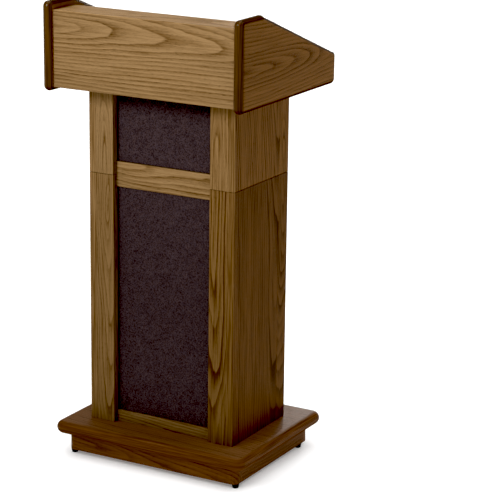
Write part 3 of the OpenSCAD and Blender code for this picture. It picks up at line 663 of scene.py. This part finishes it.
def grille_cloth(name, node, panel, body, seed):
    """A stretched sheet: the front as a grid with a slight waviness, then rings round the panel's edges"""
    low, high = (Vector(c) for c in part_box(panel))
    middle, half = (low + high) / 2, (high - low) / 2
    nx, nz = 40, max(24, int(40 * half.z / half.x))
    form = bmesh.new()

    def spot(u, v, reach_out, y):
        return form.verts.new((middle.x + u * (half.x + reach_out), y, middle.z + v * (half.z + reach_out)))

    grid = []
    for i in range(nx + 1):
        column = []
        for j in range(nz + 1):
            u, v = 2 * i / nx - 1, 2 * j / nz - 1
            calm = min(1.0, 6 * (1 - max(abs(u), abs(v))))
            wavy = noise.noise(Vector((u * 2.5, seed, v * 3.5)))
            y = low.y - 0.0009 - 0.00035 * calm * wavy
            column.append(spot(u, v, -0.0006, y + (0 if calm > 0 else 0.00005)))
        grid.append(column)
    for i in range(nx):
        for j in range(nz):
            form.faces.new((grid[i][j], grid[i + 1][j], grid[i + 1][j + 1], grid[i][j + 1])).smooth = True
    border = [(i, 0) for i in range(nx)] + [(nx, j) for j in range(nz)]
    border += [(i, nz) for i in range(nx, 0, -1)] + [(0, j) for j in range(nz, 0, -1)]
    ring = [grid[i][j] for i, j in border]
    places = [(2 * i / nx - 1, 2 * j / nz - 1) for i, j in border]
    steps = [(-0.00025, low.y - 0.00078), (-0.00003, low.y - 0.00045), (0.0, low.y), (0.0, high.y - 0.0003),
             (-0.0001, high.y + 0.0002), (-0.0005, high.y + cloth_thick), (-turn_in, high.y + cloth_thick)]
    for reach_out, y in steps:
        lap = [spot(u, v, reach_out + 0.0004, y) for u, v in places]
        for a in range(len(ring)):
            b = (a + 1) % len(ring)
            form.faces.new((ring[a], lap[a], lap[b], ring[b])).smooth = True
        ring = lap
    bmesh.ops.recalc_face_normals(form, faces=form.faces)
    if sum(f.normal.y * f.calc_area() for f in form.faces) > 0:
        bmesh.ops.reverse_faces(form, faces=form.faces)
    bmesh.ops.solidify(form, geom=form.faces[:], thickness=cloth_thick)
    bmesh.ops.recalc_face_normals(form, faces=form.faces)
    mesh = bpy.data.meshes.new(name)
    form.to_mesh(mesh)
    form.free()
    mesh.shade_smooth()
    mesh.set_sharp_from_angle(angle=math.radians(60))
    piece = loose(name, mesh, cloth, body, [node])
    border = 2 * (high.y - low.y + turn_in)
    return piece


grille_cloth("lower_cloth", "lower_grille_cloth", "lower_grille_panel", "base", 1.0)
grille_cloth("upper_cloth", "upper_grille_cloth", "upper_grille_panel", "head", 4.0)

# ---- Shelf ----
# A loose oak board with eased edges that lies on four steel pins in the storage bay behind the lower
# grille, and draws out by hand.
shelf_look = wood("shelf_oak", "walnut_panel", "X", (0.0, 0.0, 0.33), (0.03, 0.06), 0.008, 61.0)
board("shelf", shelf_look, 0.001)

# ---- Loudspeakers and input plate ----
# Two small loudspeakers behind the upper grille, with pressed steel baskets and paper cones, and a steel
# plate with a quarter-inch socket on the back of their box.
black_paint, tree, place = new_look("black_paint")
orange_peel = speckle(tree, place, (900, 900, 900), 2.0)[0]
paint_dust = speckle(tree, place, (60, 60, 60), 4.0, 0.7)[0]
dusty = ranged(tree, paint_dust, 0.4, 0.8)
paint_tint = mixed(tree, dusty, (0.014, 0.014, 0.015, 1), (0.03, 0.03, 0.03, 1))
finish_look(tree, orange_peel, 0.00005, {
    "Base Color": paint_tint, "Roughness": ranged(tree, paint_dust, 0.3, 0.8, 0.34, 0.5)})
dress(black_paint, "speaker_baskets", "input_plate")
felt, tree, place = new_look("cone_paper")
fibre = speckle(tree, place, (500, 500, 500), 5.0, 0.75)[0]
felt_tint = mixed(tree, ranged(tree, fibre, 0.3, 0.75), (0.02, 0.019, 0.018, 1), (0.06, 0.056, 0.05, 1))
finish_look(tree, fibre, 0.0003, {"Base Color": felt_tint, "Roughness": 0.9, "Specular IOR Level": 0.15})
dress(felt, "speaker_cones")
dress(zinc, "speaker_magnets")
nickel, tree, place = new_look("nickel_plate")
polish = speckle(tree, place, (1500, 200, 1500), 3.0)[0]
finish_look(tree, polish, 0.00002, {
    "Base Color": mixed(tree, polish, (0.60, 0.57, 0.52, 1), (0.72, 0.69, 0.64, 1)), "Metallic": 1.0,
    "Roughness": ranged(tree, polish, 0.3, 0.7, 0.12, 0.25)})
dress(nickel, "input_socket")

speaker_low, speaker_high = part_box("speaker_screws")
speaker_z = (speaker_low[2] + speaker_high[2]) / 2
speaker_screw_places = []
for sx in (-1, 1):
    for quarter in range(4):
        angle = math.radians(45 + 90 * quarter)
        spot = (sx * 0.058 + 0.049 * math.cos(angle), speaker_low[1], speaker_z + 0.049 * math.sin(angle))
        speaker_screw_places.append((spot, (0, 1, 0)))
screws("speaker_screws_turned", "head", ["speaker_screws"], speaker_screw_places, 0.0027, 0.0015, 0.0015,
       0.0139, black_paint)
plate_low, plate_high = (Vector(c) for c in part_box("input_plate"))
plate_middle = (plate_low + plate_high) / 2
plate_screw_places = [((plate_middle.x + sx * 0.030, plate_high.y + 0.0012, plate_middle.z + sz * 0.018),
                       (0, -1, 0)) for sx in (-1, 1) for sz in (-1, 1)]
screws("plate_screws_turned", "head", ["input_plate_screws"], plate_screw_places, 0.0027, 0.0012, 0.0015,
       0.008, black_paint)

# ---- Head ----
# The floor is screwed down on the neck. Two solid cheeks with half-round edges, stained darker there, hold
# the apron, the level top, the sloped reading board, the rail under it and the book stop between them.
neck_screw_places = [((s * 0.2025, y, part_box("head_floor")[1][2] + 0.002), (0, 0, -1))
                     for s in (-1, 1) for y in (-0.09, 0.0, 0.06)]
screws("neck_screws_turned", "head", ["neck_screws"], neck_screw_places, 0.004, 0.002, 0.002, 0.021, zinc)

cheek_low, cheek_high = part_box("cheek_right")
cheek_half = (cheek_high[0] - cheek_low[0]) / 2
cheek_r = 0.014
back_height, level_top = 0.082, 0.107
cheek_depth, front_height = cheek_high[1] - cheek_low[1], cheek_high[2] - cheek_low[2]
slope = (front_height - back_height) / (cheek_depth - level_top)
tilt = math.atan(slope)
cheek_y = cheek_high[1] - cheek_r
ridge_y = cheek_low[1] + level_top
drop = cheek_r * (1 / math.cos(tilt) - math.tan(tilt))
tilt_degrees = math.degrees(tilt)
cheek_corners = [
    (-cheek_y, cheek_low[2] + cheek_r, 180, 270), (cheek_y, cheek_low[2] + cheek_r, 270, 360),
    (cheek_y, cheek_low[2] + back_height - drop, 0, 90 - tilt_degrees),
    (ridge_y - cheek_r * math.tan(tilt / 2), cheek_high[2] - cheek_r, 90 - tilt_degrees, 90),
    (-cheek_y, cheek_high[2] - cheek_r, 90, 180),
]
to_cheek = Matrix(((0, 0, 1, 0), (1, 0, 0, 0), (0, 1, 0, 0), (0, 0, 0, 1)))
for side, s, seed in (("left", -1, 71.0), ("right", 1, 73.0)):
    middle = s * (cheek_low[0] + cheek_half)
    # Painted light: the cheeks' stain is painted 1.92 times brighter for how light falls on their faces
    cheek_look = wood(f"cheek_{side}_oak", "walnut_panel", "Y", (s * 0.277, -0.244, 1.075), (-0.10 * s, 0.02),
                      0.009, seed, 1.92, 1.5, 0.7,
                      ("X", middle, cheek_half, stained("walnut_edge", 1.0), 0.2))
    cheek_matrix = Matrix.Translation((middle, 0, 0)) @ to_cheek
    bullnose(f"cheek_{side}_board", cheek_corners, cheek_r, cheek_half, cheek_matrix,
             cheek_look, "head", [f"cheek_{side}"])


apron_low, apron_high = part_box("apron")
top_low, top_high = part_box("head_top")
nose = 0.003
apron_outline = round_corner(apron_low[1] + 0.0015, apron_low[2] + 0.0015, 0.0015, 180, 270)
apron_outline += [(apron_high[1], apron_low[2]), (apron_high[1], top_low[2])]
apron_outline += round_corner(apron_low[1] + nose, top_high[2] - nose, nose, 135, 180)
top_outline = [(apron_high[1], top_low[2]), (top_high[1], top_low[2])]
top_outline += round_corner(top_high[1] - 0.001, top_high[2] - 0.001, 0.001, 0, 90)
top_outline += round_corner(apron_low[1] + nose, top_high[2] - nose, nose, 90, 135)
# Painted light: the apron is painted at 0.93 of its stain's brightness and the level top 1.3 times brighter,
# lighter where its face turns up to the light
apron_look = wood("apron_oak", "walnut_panel", "X", (-0.257, -0.222, 1.135), (-0.085, 0.02),
                  0.009, 81.0, 0.93, 1.0, 0.85)
extruded("apron", apron_outline, "X", apron_look)
top_look = wood("head_top_oak", "walnut_panel", "X", (0, -0.16, 1.05), (0.02, 0.03), 0.0075, 83.0, 1.3)
extruded("head_top", top_outline, "X", top_look)
dress(ply_flat, "apron_blocks")
for node, slot, pith, lean, ring, seed, ease in (
    ("reading_board", "walnut_panel", (-0.1, 0.0, 1.02), (0.03, 0.07), 0.009, 85.0, 0.0008),
    ("head_back_rail", "walnut_panel", (0.0, 0.25, 1.03), (0.03, 0.05), 0.008, 87.0, 0.001),
    ("book_stop", "walnut_edge", (0.0, 0.27, 1.0), (0.02, 0.03), 0.006, 89.0, 0.003),
):
    board(node, wood(node + "_oak", slot, "X", pith, lean, ring, seed), ease)
